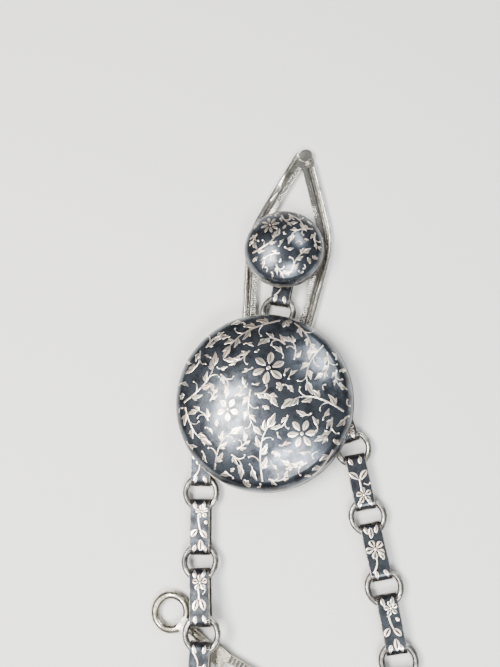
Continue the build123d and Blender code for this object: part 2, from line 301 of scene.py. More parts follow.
class MaterialShelf:
    """Makes each finish once and hands it out."""

    def __init__(self) -> None:
        """Starts with an empty shelf."""
        self.effects = EffectGroups()
        self.made: dict[str, bpy.types.Material] = {}

    def get(self, finish: Finish) -> bpy.types.Material:
        """Hands out the material of a finish, making it the first time.

        Args:
            finish: What the metal looks like.

        Returns:
            The material.
        """
        if finish.name not in self.made:
            self.made[finish.name] = self._metal(finish)
        return self.made[finish.name]

    def _metal(self, finish: Finish) -> bpy.types.Material:
        """Builds one metal.

        Args:
            finish: What the metal looks like.

        Returns:
            The material.
        """
        material = bpy.data.materials.new(finish.name)
        material.use_nodes = True
        kit = NodeTree(material.node_tree)
        shader = material.node_tree.nodes["Principled BSDF"]
        shader.inputs["Metallic"].default_value = finish.metallic
        shader.inputs["Coat Weight"].default_value = finish.coat.value
        shader.inputs["Coat Roughness"].default_value = COAT_ROUGHNESS
        painted_shade = kit.add("ShaderNodeGroup", node_tree=self.effects.painted_shade)
        painted_shade.inputs["Scale"].default_value = finish.scale
        painted_shade.inputs["Amount"].default_value = finish.tarnish
        colour = kit.add("ShaderNodeMix", data_type="RGBA")
        colour.inputs["A"].default_value = (*finish.clean, 1.0)
        colour.inputs["B"].default_value = (*finish.dull, 1.0)
        kit.link(painted_shade.outputs["Tarnish"], colour.inputs["Factor"])
        result = colour.outputs["Result"]
        if finish.wear > 0.0:
            edges = kit.add("ShaderNodeGroup", node_tree=self.effects.edges)
            share = kit.add("ShaderNodeMath", operation="MULTIPLY")
            share.inputs[1].default_value = finish.wear
            kit.link(edges.outputs["Mask"], share.inputs[0])
            worn = kit.add("ShaderNodeMix", data_type="RGBA")
            bright = (min(1.0, part * WORN_GAIN) for part in finish.clean)
            worn.inputs["B"].default_value = (*bright, 1.0)
            kit.link(share.outputs[0], worn.inputs["Factor"])
            kit.link(result, worn.inputs["A"])
            result = worn.outputs["Result"]
        kit.link(result, shader.inputs["Base Color"])
        rough = kit.add("ShaderNodeMapRange")
        rough.inputs["To Min"].default_value = finish.roughness[0]
        rough.inputs["To Max"].default_value = finish.roughness[1]
        kit.link(painted_shade.outputs["Tarnish"], rough.inputs["Value"])
        kit.link(rough.outputs["Result"], shader.inputs["Roughness"])
        bump = kit.add("ShaderNodeBump", Strength=finish.grain, Distance=GRAIN_DEPTH)
        kit.link(painted_shade.outputs["Grain"], bump.inputs["Height"])
        kit.link(bump.outputs["Normal"], shader.inputs["Normal"])
        return material

    def floor(self) -> bpy.types.Material:
        """A plain pale matt surface.

        Returns:
            The material.
        """
        material = bpy.data.materials.new("PaleFloor")
        material.use_nodes = True
        kit = NodeTree(material.node_tree)
        shader = material.node_tree.nodes["Principled BSDF"]
        shader.inputs["Base Color"].default_value = (0.62, 0.61, 0.59, 1.0)
        shader.inputs["Roughness"].default_value = 0.8
        noise = kit.add("ShaderNodeTexNoise", Scale=900.0, Detail=4.0)
        bump = kit.add("ShaderNodeBump", Strength=0.05, Distance=0.0001)
        kit.link(noise.outputs["Fac"], bump.inputs["Height"])
        kit.link(bump.outputs["Normal"], shader.inputs["Normal"])
        return material


class Surface:
    """One side of a CAD piece, reached by looking straight at it."""

    def __init__(self, obj: bpy.types.Object, origin: Vector, along: Vector,
                 across: Vector) -> None:
        """Keeps the piece's skin and the plane that designs are drawn in.

        Args:
            obj: The CAD piece.
            origin: Where the design's (0, 0) lies, in metres.
            along: Direction of the design's x.
            across: Direction of the design's y.
        """
        self.origin = origin
        self.along = along.normalized()
        self.across = across.normalized()
        self.normal = self.along.cross(self.across).normalized()
        self.tree = BVHTree.FromPolygons(
            [v.co.copy() for v in obj.data.vertices],
            [tuple(p.vertices) for p in obj.data.polygons],
        )

    def on(self, x: float, y: float, lift: float) -> Vector | None:
        """Finds a point above the piece.

        Args:
            x: Design position in millimetres.
            y: Design position in millimetres.
            lift: Height above the skin in millimetres.

        Returns:
            The point in metres, or None off the piece's edge.
        """
        start = (self.origin + self.along * (x * MM) + self.across * (y * MM)
                 + self.normal * LOOK_FROM)
        hit, normal, _, _ = self.tree.ray_cast(start, -self.normal)
        if hit is None:
            return None
        if normal.dot(self.normal) < 0.0:
            normal = -normal
        return hit + normal * (lift * MM)


@dataclass
class Relief:
    """Silver laid into a surface: many small ribbons in one mesh.

    Attributes:
        surface: The side of the piece that it is laid on.
        limit: How far from the design's middle it may reach, in millimetres.
        vertices: Its points so far.
        faces: Its faces so far.
        kinds: What each face shows.
        taken: The places already laid, each with its radius.
    """

    surface: Surface
    limit: float
    vertices: list[Vector] = field(default_factory=list)
    faces: list[tuple[int, ...]] = field(default_factory=list)
    kinds: list[Layer] = field(default_factory=list)
    taken: list[tuple[float, float, float]] = field(default_factory=list)

    def free(self, spots: list[Point], gap: float) -> bool:
        """Says whether a shape's points keep clear of what is already laid.

        Args:
            spots: The shape's points.
            gap: The least distance to leave, in millimetres.

        Returns:
            True if there is room.
        """
        for x, y in spots:
            if math.hypot(x, y) > self.limit:
                return False
            for ox, oy, radius in self.taken:
                if (x - ox) ** 2 + (y - oy) ** 2 < (radius + gap) ** 2:
                    return False
        return True

    def ribbon(self, path: list[Point], widths: list[float], height: float, vein: float) -> None:
        """Lays one raised ribbon.

        Args:
            path: Its middle line in millimetres.
            widths: Its half width at each point.
            height: Its height in millimetres.
            vein: Share of the width cut away as an engraved line, or 0.
        """
        rows: list[list[int]] = []
        count = len(path)
        across = (-1.0, -0.62, -vein, vein, 0.62, 1.0) if vein else (-1.0, -0.6, 0.0, 0.6, 1.0)
        levels = (0.0, 1.0, 0.92, 0.92, 1.0, 0.0) if vein else (0.0, 0.9, 1.0, 0.9, 0.0)
        for index, (x, y) in enumerate(path):
            before = path[max(index - 1, 0)]
            after = path[min(index + 1, count - 1)]
            dx, dy = after[0] - before[0], after[1] - before[1]
            size = math.hypot(dx, dy) or 1.0
            nx, ny = -dy / size, dx / size
            self.taken.append((x, y, widths[index]))
            row = []
            for side, level in zip(across, levels):
                reach = widths[index] * side
                lift = height * level or SEAM_LIFT
                spot = self.surface.on(x + nx * reach, y + ny * reach, lift)
                if spot is None:
                    return
                row.append(len(self.vertices))
                self.vertices.append(spot)
            rows.append(row)
        middle = len(across) // 2 - 1
        for first, second in zip(rows, rows[1:]):
            for k in range(len(across) - 1):
                self.faces.append((first[k + 1], first[k], second[k], second[k + 1]))
                self.kinds.append(Layer.ENGRAVED if vein and k == middle else Layer.SILVER)

    def leaf(self, x: float, y: float, angle: float, length: float, width: float,
             bend: float = 25.0, blunt: float = 0.0, vein: float = 0.16) -> None:
        """Lays one leaf or petal.

        Args:
            x: Its foot.
            y: Its foot.
            angle: Direction it grows in, in degrees.
            length: Its length in millimetres.
            width: Its full width in millimetres.
            bend: How far its tip turns, in degrees.
            blunt: 0 for a pointed tip, 1 for a round one.
            vein: Share of the width taken by the engraved vein.
        """
        path, widths = [], []
        steps = 9
        for step in range(steps + 1):
            part = step / steps
            path.append((x, y))
            swell = math.sin(math.pi * part ** (0.75 + 0.75 * blunt)) ** (0.8 - 0.25 * blunt)
            widths.append(max(width / 2 * swell, THINNEST))
            turn = math.radians(angle + bend * part)
            x += math.cos(turn) * length / steps
            y += math.sin(turn) * length / steps
        self.ribbon(path, widths, LEAF_HEIGHT, vein)

    def frond(self, x: float, y: float, angle: float, length: float, width: float,
              bend: float) -> None:
        """Lays a leaf with a small lobe on each side of its foot.

        Args:
            x: Its foot.
            y: Its foot.
            angle: Direction it grows in, in degrees.
            length: Its length in millimetres.
            width: Its full width in millimetres.
            bend: How far its tip turns, in degrees.
        """
        turn = math.radians(angle)
        fx, fy = x + math.cos(turn) * length * 0.12, y + math.sin(turn) * length * 0.12
        for side in (-1.0, 1.0):
            self.leaf(fx, fy, angle + side * 38.0, length * 0.5, width * 0.55,
                      -side * 30.0, 0.0, 0.0)
        self.leaf(x, y, angle, length, width, bend)

    def stem(self, x: float, y: float, angle: float, length: float, bend: float,
             start: float, end: float) -> list[tuple[float, float, float]]:
        """Lays a tapering stem.

        Args:
            x: Its foot.
            y: Its foot.
            angle: Direction it sets out in, in degrees.
            length: Its length in millimetres.
            bend: How far it turns by its tip, in degrees.
            start: Its width at the foot.
            end: Its width at the tip.

        Returns:
            Its points, each with the direction there in degrees.
        """
        path, widths, marks = [], [], []
        steps = max(6, int(length / STEM_STEP))
        for step in range(steps + 1):
            part = step / steps
            turn = angle + bend * part * part
            path.append((x, y))
            marks.append((x, y, turn))
            widths.append((start + (end - start) * part) / 2)
            x += math.cos(math.radians(turn)) * length / steps
            y += math.sin(math.radians(turn)) * length / steps
        self.ribbon(path, widths, STEM_HEIGHT, 0.0)
        return marks

    def boss(self, x: float, y: float, radius: float) -> None:
        """Lays a small round bead.

        Args:
            x: Its middle.
            y: Its middle.
            radius: Its radius in millimetres.
        """
        middle = self.surface.on(x, y, BEAD_HEIGHT)
        if middle is None:
            return
        self.taken.append((x, y, radius))
        first = len(self.vertices)
        self.vertices.append(middle)
        for share, lift in ((0.6, BEAD_SHOULDER), (1.0, SEAM_LIFT)):
            for step in range(BEAD_SIDES):
                turn = 2 * math.pi * step / BEAD_SIDES
                spot = self.surface.on(x + math.cos(turn) * radius * share,
                                       y + math.sin(turn) * radius * share, lift)
                self.vertices.append(spot if spot is not None else middle)
        for step in range(BEAD_SIDES):
            after = (step + 1) % BEAD_SIDES
            inner, outer = first + 1 + step, first + 1 + BEAD_SIDES + step
            inner_next, outer_next = first + 1 + after, first + 1 + BEAD_SIDES + after
            self.faces.append((first, inner, inner_next))
            self.faces.append((inner, outer, outer_next, inner_next))
            self.kinds += [Layer.SILVER, Layer.SILVER]

    def flower(self, x: float, y: float, radius: float, petals: int, turn: float) -> None:
        """Lays an open flower with a bead for its eye.

        Args:
            x: Its middle.
            y: Its middle.
            radius: Its radius in millimetres.
            petals: How many petals it has.
            turn: Direction of its first petal, in degrees.
        """
        for step in range(petals):
            angle = turn + 360.0 * step / petals
            foot = radius * 0.24
            fx = x + math.cos(math.radians(angle)) * foot
            fy = y + math.sin(math.radians(angle)) * foot
            self.leaf(fx, fy, angle, radius * 0.78, radius * 2.5 / petals, 8.0, 0.6, 0.13)
        self.boss(x, y, radius * 0.13)

    def sprig(self, x: float, y: float, angle: float, length: float, bend: float,
              pairs: int, size: float) -> None:
        """Lays a curving stem with leaves on both sides and one at its tip.

        Args:
            x: Its foot.
            y: Its foot.
            angle: Direction it sets out in, in degrees.
            length: Length of the stem in millimetres.
            bend: How far the stem turns by its tip, in degrees.
            pairs: How many leaves and tendrils stand along it.
            size: Length of its leaves in millimetres.
        """
        marks = self.stem(x, y, angle, length, bend, 0.26, 0.12)
        for step in range(pairs):
            part = 0.22 + 0.7 * step / max(pairs - 1, 1)
            mx, my, turn = marks[int(part * (len(marks) - 1))]
            side = 1.0 if step % 2 else -1.0
            reach = size * (1.0 - 0.25 * part)
            if step % 3 == 1:
                self.curl(mx, my, turn + side * 40.0, reach, side * 110.0)
            else:
                self.frond(mx, my, turn + side * 46.0, reach, reach * 0.32, side * -38.0)
        ex, ey, turn = marks[-1]
        self.frond(ex, ey, turn, size * 1.05, size * 0.36, 14.0)

    def curl(self, x: float, y: float, angle: float, length: float, bend: float) -> None:
        """Lays a tendril that ends in a bead.

        Args:
            x: Its foot.
            y: Its foot.
            angle: Direction it sets out in, in degrees.
            length: Its length in millimetres.
            bend: How far it turns by its tip, in degrees.
        """
        marks = self.stem(x, y, angle, length, bend, 0.18, 0.1)
        ex, ey, _ = marks[-1]
        self.boss(ex, ey, 0.15)

    def fill(self, rng: random.Random, tries: int, size: float) -> None:
        """Fills what is left with single leaves, trefoils and tendrils.

        Args:
            rng: Where the places and turns are drawn from.
            tries: How many places are tried.
            size: Rough size of each in millimetres.
        """
        for _ in range(tries):
            reach = self.limit * math.sqrt(rng.random())
            around = rng.random() * 2 * math.pi
            x, y = reach * math.cos(around), reach * math.sin(around)
            angle = rng.random() * 360.0
            length = size * rng.uniform(0.7, 1.15)
            ux, uy = math.cos(math.radians(angle)), math.sin(math.radians(angle))
            spots = [(x + ux * length * k / 4, y + uy * length * k / 4) for k in range(-1, 5)]
            side = size * 0.22
            spots += [(px - uy * side, py + ux * side) for px, py in spots[1:5]]
            spots += [(px + uy * side, py - ux * side) for px, py in spots[1:5]]
            if not self.free(spots, FILL_GAP):
                continue
            pick = rng.random()
            if pick < 0.5:
                self.frond(x, y, angle, length, length * 0.32, rng.choice((-35.0, 35.0)))
                self.curl(x, y, angle + 180.0, length * 0.45, rng.choice((-90.0, 90.0)))
            elif pick < 0.75:
                for spread in (-48.0, 0.0, 48.0):
                    self.leaf(x, y, angle + spread, length * 0.62, length * 0.34, 0.0, 0.7)
            else:
                self.curl(x, y, angle, length, rng.choice((-170.0, 170.0)))

    def scatter(self, rng: random.Random, tries: int, size: float) -> None:
        """Fills open ground with short curving sprigs.

        Args:
            rng: Where the places and turns are drawn from.
            tries: How many places are tried.
            size: Length of a sprig's leaves in millimetres.
        """
        for _ in range(tries):
            reach = self.limit * math.sqrt(rng.random())
            around = rng.random() * 2 * math.pi
            x, y = reach * math.cos(around), reach * math.sin(around)
            angle, bend = rng.random() * 360.0, rng.choice((-70.0, 70.0))
            length = size * rng.uniform(1.5, 2.3)
            spots, px, py = [], x, y
            for step in range(8):
                turn = math.radians(angle + bend * (step / 6) ** 2)
                ux, uy = math.cos(turn), math.sin(turn)
                side = size * 0.55
                spots += [(px, py), (px - uy * side, py + ux * side),
                          (px + uy * side, py - ux * side)]
                px += ux * (length + size * 0.8) / 8
                py += uy * (length + size * 0.8) / 8
            if self.free(spots, SPRIG_GAP):
                self.sprig(x, y, angle, length, bend, rng.choice((3, 4)), size)

    def build(self, name: str, body: str, slot: str, materials: list[bpy.types.Material]) -> None:
        """Turns what was laid into a piece that rides on its body.

        Args:
            name: Name of the piece.
            body: The body it rides on.
            slot: Not used.
            materials: The silver's material, then the engraving's if it has any.
        """
        mesh = bpy.data.meshes.new(name)
        mesh.from_pydata([tuple(v) for v in self.vertices], [], self.faces)
        for material in materials:
            mesh.materials.append(material)
        for polygon, kind in zip(mesh.polygons, self.kinds):
            polygon.material_index = min(int(kind), len(materials) - 1)
            polygon.use_smooth = True
        mesh.validate()
        piece = bpy.data.objects.new(name, mesh)
        bpy.context.scene.collection.objects.link(piece)
        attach(piece, body)


def centre_of(node: str) -> Vector:
    """Middle of a node's box, in metres."""
    low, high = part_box(node)
    return (Vector(low) + Vector(high)) / 2


@dataclass
class Medallion:
    """A domed niello disc covered in silver scrollwork."""

    name: str
    node: bpy.types.Object
    centre: Vector
    along: Vector
    across: Vector
    radius: float
    shelf: MaterialShelf

    def relief(self) -> Relief:
        """Starts an empty relief on the dome."""
        skin = Surface(self.node, self.centre, self.along, self.across)
        return Relief(skin, self.radius - RIM_MARGIN)

    def finish(self, relief: Relief, body: str) -> None:
        """Hands the relief over as a piece."""
        relief.build(f"{self.name}_scrolls", body, "niello",
                     [self.shelf.get(ORNAMENT), self.shelf.get(ENGRAVED)])


class LargeMedallion(Medallion):
    """The large disc: three flowers among curving sprigs."""

    def decorate(self) -> None:
        """Lays the scrollwork."""
        art = self.relief()
        art.flower(1.2, 4.6, 2.5, 6, 20.0)
        art.flower(-4.9, -1.8, 1.8, 5, 54.0)
        art.flower(6.4, -5.2, 2.1, 6, 5.0)
        art.sprig(-12.2, -0.6, 35.0, 7.6, 48.0, 6, 2.2)
        art.sprig(-12.0, -1.4, -72.0, 5.6, 40.0, 4, 2.0)
        art.sprig(2.6, 12.6, 196.0, 9.0, 44.0, 7, 2.3)
        art.sprig(-7.0, -10.8, 82.0, 6.2, -58.0, 5, 2.1)
        art.sprig(0.4, -12.4, 96.0, 8.2, -40.0, 6, 2.3)
        art.sprig(12.6, -1.6, 150.0, 8.0, 62.0, 6, 2.2)
        art.sprig(9.4, 8.6, -128.0, 6.6, 55.0, 5, 2.1)
        art.sprig(-1.4, 1.2, -98.0, 5.6, 46.0, 5, 1.9)
        art.sprig(4.8, 12.2, -40.0, 5.2, -60.0, 4, 1.8)
        art.sprig(11.0, -7.4, -120.0, 5.0, -30.0, 4, 1.8)
        art.scatter(random.Random(10), 2500, 1.7)
        art.scatter(random.Random(13), 2500, 1.25)
        art.fill(random.Random(11), 2600, 1.6)
        art.fill(random.Random(12), 1200, 1.1)
        self.finish(art, "large_medallion")


class SmallMedallion(Medallion):
    """The small disc: a daisy, trefoils and leaves."""

    def decorate(self) -> None:
        """Lays the scrollwork."""
        art = self.relief()
        art.flower(-2.3, 2.9, 1.5, 8, 10.0)
        art.sprig(-5.0, -1.6, 20.0, 4.4, 40.0, 4, 1.5)
        art.sprig(4.6, 2.6, 190.0, 4.0, 60.0, 4, 1.5)
        art.sprig(1.2, -5.0, 70.0, 3.8, -40.0, 4, 1.4)
        art.sprig(0.6, 5.2, -30.0, 3.2, -40.0, 3, 1.3)
        art.scatter(random.Random(20), 2000, 1.2)
        art.fill(random.Random(21), 2200, 1.2)
        art.fill(random.Random(22), 2200, 0.75)
        self.finish(art, "small_medallion")


@dataclass
class StrapLink:
    """A strap link with a niello front and its own sprig of silver."""

    name: str
    node: bpy.types.Object
    variant: int
    shelf: MaterialShelf

    def surface(self) -> Surface:
        """Finds the front from the strap's own three directions.

        Returns:
            The front, with the design's x along the strap.
        """
        points = np.array([tuple(v.co) for v in self.node.data.vertices])
        middle = (points.min(axis=0) + points.max(axis=0)) / 2
        _, axes = np.linalg.eigh(np.cov((points - points.mean(axis=0)).T))
        along, normal = Vector(axes[:, 2]), Vector(axes[:, 0])
        if along.y > 0.0:
            along = -along
        if normal.z < 0.0:
            normal = -normal
        return Surface(self.node, Vector(middle), along, normal.cross(along))

    @staticmethod
    def blossom(art: Relief, x: float, y: float, radius: float, petals: int, turn: float) -> None:
        """Lays an open flower of round outlined petals.

        Args:
            art: The relief it is laid in.
            x: Its middle.
            y: Its middle.
            radius: Its radius in millimetres.
            petals: How many petals it has.
            turn: Direction of its first petal, in degrees.
        """
        for step in range(petals):
            angle = turn + 360.0 * step / petals
            foot = radius * 0.2
            art.leaf(x + math.cos(math.radians(angle)) * foot,
                     y + math.sin(math.radians(angle)) * foot,
                     angle, radius * 0.82, radius * 0.72, 6.0, 1.0, 0.3)
        art.boss(x, y, radius * 0.17)

    def decorate(self) -> None:
        """Lays the niello panel and the silver on it."""
        art = Relief(self.surface(), LINK_LIMIT)
        steps = 30
        path = [(-LINK_REACH + 2 * LINK_REACH * k / steps, 0.0) for k in range(steps + 1)]
        panel = Relief(art.surface, LINK_LIMIT)
        panel.ribbon(path, [PANEL_HALF] * len(path), PANEL_HEIGHT, 0.0)
        panel.build(f"{self.name}_niello", self.name, "niello_strap",
                    [self.shelf.get(STRAP_NIELLO)])
        rng = random.Random(100 + self.variant)
        flip = 1.0 if self.variant % 2 else -1.0
        if self.variant % 3 == 0:
            self.blossom(art, 0.4 * flip, 0.0, 1.4, 5, 18.0 * flip)
            art.stem(-2.9 * flip, -1.0, 90.0 - 52.0 * flip, 2.2, -60.0 * flip, 0.3, 0.16)
            art.leaf(-1.3 * flip, 0.9, 90.0 - 98.0 * flip, 1.5, 0.8, -30.0 * flip, 0.3, 0.26)
            art.leaf(2.0 * flip, -0.3, 90.0 - 70.0 * flip, 1.6, 0.85, 30.0, 0.3, 0.26)
        elif self.variant % 3 == 1:
            self.blossom(art, -2.3 * flip, 0.35, 1.0, 5, 40.0)
            art.stem(-1.4 * flip, -0.2, 90.0 - 84.0 * flip, 3.0, 42.0 * flip, 0.3, 0.18)
            art.leaf(0.5 * flip, 0.1, 90.0 - 40.0 * flip, 1.5, 0.95, -24.0 * flip, 0.4, 0.3)
            art.leaf(0.4 * flip, -0.35, -90.0 + 40.0 * flip, 1.4, 0.95, 24.0 * flip, 0.4, 0.3)
            art.leaf(1.9 * flip, 0.15, 90.0 - 80.0 * flip, 1.7, 1.0, -30.0, 0.3, 0.26)
            art.boss(-0.7 * flip, 1.0, 0.3)
        else:
            art.leaf(-0.3 * flip, 0.15, 90.0 + 58.0 * flip, 1.8, 1.0, -30.0, 0.4, 0.28)
            art.leaf(-0.4 * flip, -0.2, -90.0 - 58.0 * flip, 1.7, 1.0, 30.0, 0.4, 0.28)
            art.stem(-0.4 * flip, 0.0, 90.0 - 92.0 * flip, 2.0, 30.0, 0.32, 0.2)
            self.blossom(art, 2.0 * flip, 0.15, 1.15, 5, 36.0)
            art.curl(0.3 * flip, 0.5, 90.0 - 40.0 * flip, 1.1, 130.0)
        for side in (-1.0, 1.0):
            for edge in (-1.0, 1.0):
                angle = 90.0 - side * 90.0 + edge * side * rng.uniform(12.0, 30.0)
                art.leaf(side * 2.7, edge * 0.55, angle, 1.25, 0.62, -20.0 * edge * side)
        art.build(f"{self.name}_scrolls", self.name, "niello_strap",
                  [self.shelf.get(ORNAMENT), self.shelf.get(ENGRAVED)])


@dataclass
class Milling:
    """Small ribs filed across a band of silver."""

    name: str
    body: str
    slot: str
    vertices: list[Vector] = field(default_factory=list)
    faces: list[tuple[int, ...]] = field(default_factory=list)

    def rib(self, start: Vector, end: Vector, along: Vector, up: Vector, half: float,
            height: float) -> None:
        """Adds one rounded rib between two points.

        Args:
            start: One end.
            end: The other end.
            along: Direction across the rib.
            up: Direction the rib stands up in.
            half: Half its width in millimetres.
            height: Its height in millimetres.
        """
        first = len(self.vertices)
        profile = ((-1.0, -0.3), (-0.7, 0.55), (0.0, 1.0), (0.7, 0.55), (1.0, -0.3))
        for spot in (start, end):
            for side, lift in profile:
                self.vertices.append(spot + along * (side * half * MM) + up * (lift * height * MM))
        count = len(profile)
        for k in range(count - 1):
            self.faces.append((first + k, first + k + 1, first + count + k + 1, first + count + k))
        self.faces.append(tuple(first + k for k in range(count))[::-1])
        self.faces.append(tuple(first + count + k for k in range(count)))

    def strip(self, left: list[Vector], right: list[Vector]) -> None:
        """Adds a thin band between two lines of points."""
        first, count = len(self.vertices), len(left)
        self.vertices += left + right
        for k in range(count - 1):
            self.faces.append((first + k, first + k + 1, first + count + k + 1, first + count + k))

    def build(self, material: bpy.types.Material) -> None:
        """Turns the ribs into a piece that rides on its body.

        Args:
            material: What the piece is made of.
        """
        mesh = bpy.data.meshes.new(self.name)
        mesh.from_pydata([tuple(v) for v in self.vertices], [], self.faces)
        mesh.materials.append(material)
        mesh.validate()
        piece = bpy.data.objects.new(self.name, mesh)
        bpy.context.scene.collection.objects.link(piece)
        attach(piece, self.body)


@dataclass
class WaistHook:
    """The leaf-shaped frame's milled inner bands.

    Attributes:
        nodes: The CAD pieces.
        centre: Middle of the large disc.
        shelf: Where the finishes are kept.
        pitch: Distance between ribs.
        land: Length of a rib, across the band.
        rib_share: Half a rib's width as a share of the pitch.
        rib_height: Height of a fresh rib.
        overlap: How far a rib reaches past the band's inner edge.
        first: Where the band starts, from the disc's middle.
        tip_gap: What is left plain at the tip.
        walk: Step in which the band's edge is followed.
        leap: Longest step that still counts as one edge.
        sunk: Depth of the band under the arm's top.
        probe: Depth below the band at which its edge is looked for.
        fresh_to: Where the ribs are worn away, from the disc's middle.
        fade: Length over which they wear.
        least: Share of its height that the most worn rib keeps.
        land_edges: Inner and outer edge of the painted shade on the milled land.
        land_lift: Height of the painted shade on the milled land.
        groove_edges: Inner and outer edge of the painted shade in the groove.
        groove_depth: Depth of the painted shade in the groove.
    """

    nodes: dict[str, bpy.types.Object]
    centre: Vector
    shelf: MaterialShelf
    pitch: float = 0.27
    land: float = 0.68
    rib_share: float = 0.4
    rib_height: float = 0.07
    overlap: float = 0.015
    first: float = 9.0
    tip_gap: float = 3.4
    walk: float = 0.05
    leap: float = 0.5
    sunk: float = 0.12
    probe: float = 0.15
    fresh_to: float = 38.0
    fade: float = 14.0
    least: float = 0.25
    land_edges: Point = (0.03, 0.74)
    land_lift: float = 0.008
    groove_edges: Point = (0.86, 1.18)
    groove_depth: float = 0.32

    def mill(self, node: str, body: str, side: float) -> None:
        """Files the ribs along one arm.

        Args:
            node: The arm.
            body: The body it rides on.
            side: 1 for the right-hand arm, -1 for the left.
        """
        lean = math.radians(HOOK_LEAN)
        along = Vector((math.sin(lean), math.cos(lean), 0.0))
        across = Vector((math.cos(lean), -math.sin(lean), 0.0)) * side
        mesh = self.nodes[node].data
        tree = BVHTree.FromPolygons([v.co.copy() for v in mesh.vertices],
                                    [tuple(p.vertices) for p in mesh.polygons])
        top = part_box("hook_fixed_arm")[1][2] - self.sunk * MM
        base = Vector((self.centre.x + HOOK_SHIFT * MM, self.centre.y, top - self.probe * MM))
        spots: list[Vector] = []
        place = self.first
        while place < HOOK_SPAN - self.tip_gap:
            hit = tree.ray_cast(base + along * (place * MM), across)[0]
            if hit is not None:
                spots.append(Vector((hit.x, hit.y, top)))
            place += self.walk
        ribs = Milling(f"{node}_milling", body, "hook_silver")
        # Painted shade: near-black strips between the ribs and down in the groove.
        self.lay_painted_shade(node, body, side, spots[::8])
        walked = 0.0
        for before, spot in zip(spots, spots[1:]):
            step = (spot - before).length / MM
            walked += step
            if walked < self.pitch or step > self.leap:
                continue
            walked = 0.0
            way = (spot - before).normalized()
            out = Vector((way.y, -way.x, 0.0)) * side
            left = (self.fresh_to - (spot - base).length / MM) / self.fade
            worn = min(1.0, max(self.least, left))
            ribs.rib(spot - out * (self.overlap * MM), spot + out * (self.land * MM), way,
                     Vector((0.0, 0.0, 1.0)), self.pitch * self.rib_share,
                     self.rib_height * worn)
        ribs.build(self.shelf.get(MILLED_SILVER))

    def lay_painted_shade(self, node: str, body: str, side: float, spots: list[Vector]) -> None:
        """Lays near-black painted shade on the milled land, seen between the ribs, and in the
        groove beside it.

        Args:
            node: The arm.
            body: The body it rides on.
            side: 1 for the right-hand arm, -1 for the left.
            spots: Points along the band's inner edge.
        """
        dark = Milling(f"{node}_patina", body, "hook_silver")
        bands = ((self.land_edges, self.land_lift), (self.groove_edges, -self.groove_depth))
        for edges, lift in bands:
            inner: list[Vector] = []
            outer: list[Vector] = []
            for before, spot in zip(spots, spots[1:]):
                way = (spot - before).normalized()
                out = Vector((way.y, -way.x, 0.0)) * side
                for reach, line in zip(edges, (inner, outer)):
                    line.append(spot + out * (reach * MM) + Vector((0.0, 0.0, lift * MM)))
            dark.strip(*((inner, outer) if side < 0.0 else (outer, inner)))
        dark.build(self.shelf.get(PAINTED_RECESS_SHADE))


@dataclass
class Clasp:
    """The swivel clasp's milled gate arm.

    Attributes:
        gate: The CAD piece.
        shelf: Where the finishes are kept.
        pitch: Distance between ribs.
        ribs_from: Distance of the first rib from the rivet.
        ribs_to: Distance within which the last rib lies.
        rib_edges: Where a rib starts and ends across the gate.
        rib_share: Half a rib's width as a share of the pitch.
        rib_height: Height of a rib.
        dark_from: Distance from the rivet at which the dark strip of painted shade under the ribs
            starts.
        dark_step: Distance between its points.
        dark_points: How many points it has along the gate.
        dark_edges: Its two edges across the gate.
        dark_lift: Its height above the gate.
    """

    gate: bpy.types.Object
    shelf: MaterialShelf
    pitch: float = 0.6
    ribs_from: float = 1.5
    ribs_to: float = 9.8
    rib_edges: Point = (-0.44, 0.63)
    rib_share: float = 0.26
    rib_height: float = 0.26
    dark_from: float = 1.2
    dark_step: float = 0.5
    dark_points: int = 17
    dark_edges: Point = (-0.42, 0.62)
    dark_lift: float = 0.012

    def mill(self) -> None:
        """Files coarse ribs across the gate, clear of its lower edge, over a near-black strip of
        painted shade.
        """
        turn = math.radians(GATE_HEADING)
        along = Vector((math.cos(turn), math.sin(turn), 0.0))
        across = Vector((-along.y, along.x, 0.0))
        skin = Surface(self.gate, centre_of("clasp_gate_rivet"), along, across)
        ribs = Milling("clasp_gate_milling", "clasp_gate", "clasp_silver")
        # Painted shade: a near-black strip under the gate's ribs, seen between them.
        dark = Milling("clasp_gate_painted_shade", "clasp_gate", "clasp_silver")
        lines: tuple[list[Vector], list[Vector]] = ([], [])
        for step in range(self.dark_points):
            for line, y in zip(lines, self.dark_edges):
                spot = skin.on(self.dark_from + self.dark_step * step, y, self.dark_lift)
                if spot is not None:
                    line.append(spot)
        if len(lines[0]) == len(lines[1]):
            dark.strip(*lines)
        dark.build(self.shelf.get(PAINTED_RECESS_SHADE))
        place = self.ribs_from
        while place < self.ribs_to:
            low, high = (skin.on(place, edge, 0.0) for edge in self.rib_edges)
            if low is not None and high is not None:
                ribs.rib(low, high, along, Vector((0.0, 0.0, 1.0)),
                         self.pitch * self.rib_share, self.rib_height)
            place += self.pitch
        ribs.build(self.shelf.get(MILLED_SILVER))


